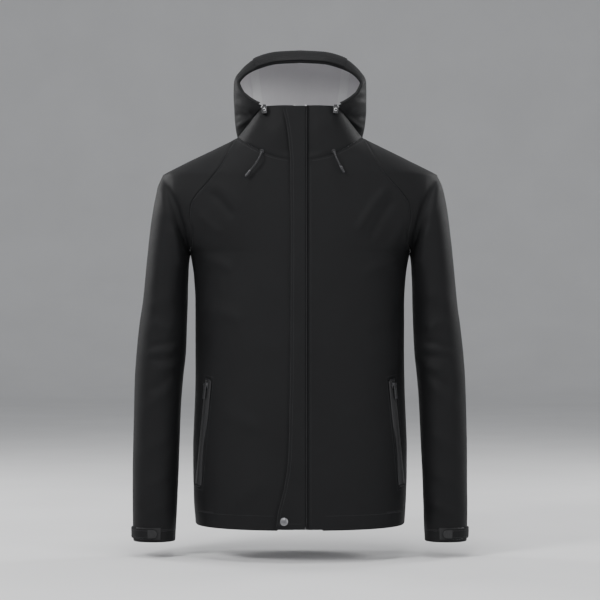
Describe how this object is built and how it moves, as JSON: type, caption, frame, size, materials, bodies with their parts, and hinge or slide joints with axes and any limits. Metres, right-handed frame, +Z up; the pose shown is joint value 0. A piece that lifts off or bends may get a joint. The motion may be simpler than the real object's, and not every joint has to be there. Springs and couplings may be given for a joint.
{
  "type": "hardshell jacket",
  "caption": "Hooded waterproof shell jacket hung by its neck loop: zip front under a snap-closed storm flap, hand pockets, cuff tabs, drawcord hem and hood.",
  "frame": {"origin": "top of the hanger loop inside the back neck, on the jacket's middle plane", "axes": "+Z up, front of the jacket towards -Y, +X towards the wearer's left sleeve"},
  "size_m": [0.6344, 0.2819, 0.9211],
  "materials": {
    "shell_fabric": "matt charcoal woven three-layer laminate",
    "lining": "light tricot",
    "seam_tape": "satin pale seam tape",
    "zip_tape": "laminated water-repellent tape",
    "zip_plastic": "moulded black",
    "snap_metal": "satin grey metal",
    "eyelet_metal": "dark anodised",
    "trim_plastic": "glossy dark grey moulding",
    "pull_cord": "soft moulded pull",
    "cord": "braided elastic cord",
    "loop_pile": "brushed loop pile",
    "tab_rubber": "laminated tab"
  },
  "bodies": {
    "shell": {"back_panel": "shell_fabric", "back_yoke": "shell_fabric", "chin_guard": "lining", "collar_left": "shell_fabric", "collar_right": "shell_fabric", "cord_end_left": "trim_plastic", "cord_end_right": "trim_plastic", "cord_eyelets": "eyelet_metal", "flap_seam_strip": "shell_fabric", "front_panel_left": "shell_fabric", "front_panel_right": "shell_fabric", "hanger_loop": "lining", "hem_cordlock_bodies": "trim_plastic", "hem_drawcord": "cord", "hem_facing": "shell_fabric", "hood_cord_left": "cord", "hood_cord_right": "cord", "hood_cordlock_bodies": "trim_plastic", "inner_wind_flap": "shell_fabric", "main_zip_tapes": "zip_tape", "main_zip_teeth": "zip_plastic", "neck_label": "seam_tape", "pocket_bag_left": "lining", "pocket_bag_right": "lining", "pocket_zip_left": "zip_tape", "pocket_zip_right": "zip_tape", "shoulder_left": "shell_fabric", "shoulder_right": "shell_fabric", "snap_stud": "snap_metal", "zip_box_and_stops": "zip_plastic"},
    "hood": {"hood_centre_panel": "shell_fabric", "hood_side_left": "shell_fabric", "hood_side_right": "shell_fabric", "hood_brim": "shell_fabric", "hood_opening_hem": "shell_fabric", "hood_drawcord": "cord", "hood_seam_tapes": "seam_tape"},
    "storm_flap": {"storm_flap": "shell_fabric", "snap_cap": "snap_metal", "snap_socket": "snap_metal"},
    "main_slider": {"main_slider": "snap_metal"},
    "main_pull": {"main_pull": "pull_cord"},
    "sleeve_left": {"upper_sleeve_left": "shell_fabric"},
    "forearm_left": {"forearm_left": "shell_fabric", "cuff_facing_left": "shell_fabric", "cuff_patch_left": "loop_pile"},
    "cuff_tab_left": {"cuff_tab_left": "tab_rubber"},
    "pocket_slider_left": {"pocket_slider_left": "snap_metal"},
    "pocket_pull_left": {"pocket_pull_left": "pull_cord"},
    "hood_button_left": {"hood_button_left": "trim_plastic"},
    "hem_button_left": {"hem_button_left": "trim_plastic"},
    "sleeve_right": {"upper_sleeve_right": "shell_fabric"},
    "forearm_right": {"forearm_right": "shell_fabric", "cuff_facing_right": "shell_fabric", "cuff_patch_right": "loop_pile"},
    "cuff_tab_right": {"cuff_tab_right": "tab_rubber"},
    "pocket_slider_right": {"pocket_slider_right": "snap_metal"},
    "pocket_pull_right": {"pocket_pull_right": "pull_cord"},
    "hood_button_right": {"hood_button_right": "trim_plastic"},
    "hem_button_right": {"hem_button_right": "trim_plastic"}
  },
  "joints": [
    {"name": "hood_fold", "type": "hinge", "parent": "shell", "child": "hood", "pos_m": [0, 0.002, 0.011], "axis": [-1, 0, 0], "range_deg": [0, 95]},
    {"name": "storm_flap_open", "type": "hinge", "parent": "shell", "child": "storm_flap", "pos_m": [0.0095, -0.21097, -0.337], "axis": [0, 0.0698, 0.9976], "range_deg": [0, 165]},
    {"name": "main_zip_travel", "type": "slide", "parent": "shell", "child": "main_slider", "axis": [0, -0.0698, -0.9976], "range_m": [0, 0.745]},
    {"name": "main_pull_swing", "type": "hinge", "parent": "main_slider", "child": "main_pull", "pos_m": [0, -0.1805, 0.03986], "axis": [0, -0.9976, 0.0698], "range_deg": [-28, 12]},
    {"name": "left_sleeve_raise", "type": "hinge", "parent": "shell", "child": "sleeve_left", "pos_m": [0.2597, -0.084, -0.07], "axis": [0, -1, 0], "range_deg": [0, 60]},
    {"name": "left_elbow_bend", "type": "hinge", "parent": "sleeve_left", "child": "forearm_left", "pos_m": [0.262, -0.1535, -0.4055], "axis": [-1, 0, 0], "range_deg": [0, 80], "stiffness_Nm_per_rad": 0.15, "springref_deg": -34.38},
    {"name": "left_cuff_tab_peel", "type": "hinge", "parent": "forearm_left", "child": "cuff_tab_left", "pos_m": [0.31466, -0.10017, -0.744], "axis": [0, 0, 1], "range_deg": [0, 110]},
    {"name": "left_pocket_zip_travel", "type": "slide", "parent": "shell", "child": "pocket_slider_left", "axis": [0.0981, 0.0781, -0.9921], "range_m": [0, 0.176]},
    {"name": "left_pocket_pull_swing", "type": "hinge", "parent": "pocket_slider_left", "child": "pocket_pull_left", "pos_m": [0.17623, -0.16498, -0.46494], "axis": [-0.5866, -0.8008, -0.1211], "range_deg": [0, 150]},
    {"name": "left_hood_button_press", "type": "slide", "parent": "shell", "child": "hood_button_left", "axis": [0, 0, -1], "range_m": [0, 0.003], "stiffness_N_per_m": 200, "springref_m": -0.002},
    {"name": "left_hem_button_press", "type": "slide", "parent": "shell", "child": "hem_button_left", "axis": [-0.8623, -0.5064, 0], "range_m": [0, 0.003], "stiffness_N_per_m": 200, "springref_m": -0.002},
    {"name": "right_sleeve_raise", "type": "hinge", "parent": "shell", "child": "sleeve_right", "pos_m": [-0.2597, -0.084, -0.07], "axis": [0, 1, 0], "range_deg": [0, 60]},
    {"name": "right_elbow_bend", "type": "hinge", "parent": "sleeve_right", "child": "forearm_right", "pos_m": [-0.262, -0.1535, -0.4055], "axis": [-1, 0, 0], "range_deg": [0, 80], "stiffness_Nm_per_rad": 0.15, "springref_deg": -34.38},
    {"name": "right_cuff_tab_peel", "type": "hinge", "parent": "forearm_right", "child": "cuff_tab_right", "pos_m": [-0.31466, -0.10017, -0.744], "axis": [0, 0, -1], "range_deg": [0, 110]},
    {"name": "right_pocket_zip_travel", "type": "slide", "parent": "shell", "child": "pocket_slider_right", "axis": [-0.0981, 0.0781, -0.9921], "range_m": [0, 0.176]},
    {"name": "right_pocket_pull_swing", "type": "hinge", "parent": "pocket_slider_right", "child": "pocket_pull_right", "pos_m": [-0.17623, -0.16498, -0.46494], "axis": [-0.5866, 0.8008, 0.1211], "range_deg": [0, 150]},
    {"name": "right_hood_button_press", "type": "slide", "parent": "shell", "child": "hood_button_right", "axis": [0, 0, -1], "range_m": [0, 0.003], "stiffness_N_per_m": 200, "springref_m": -0.002},
    {"name": "right_hem_button_press", "type": "slide", "parent": "shell", "child": "hem_button_right", "axis": [0.8623, -0.5064, 0], "range_m": [0, 0.003], "stiffness_N_per_m": 200, "springref_m": -0.002}
  ]
}
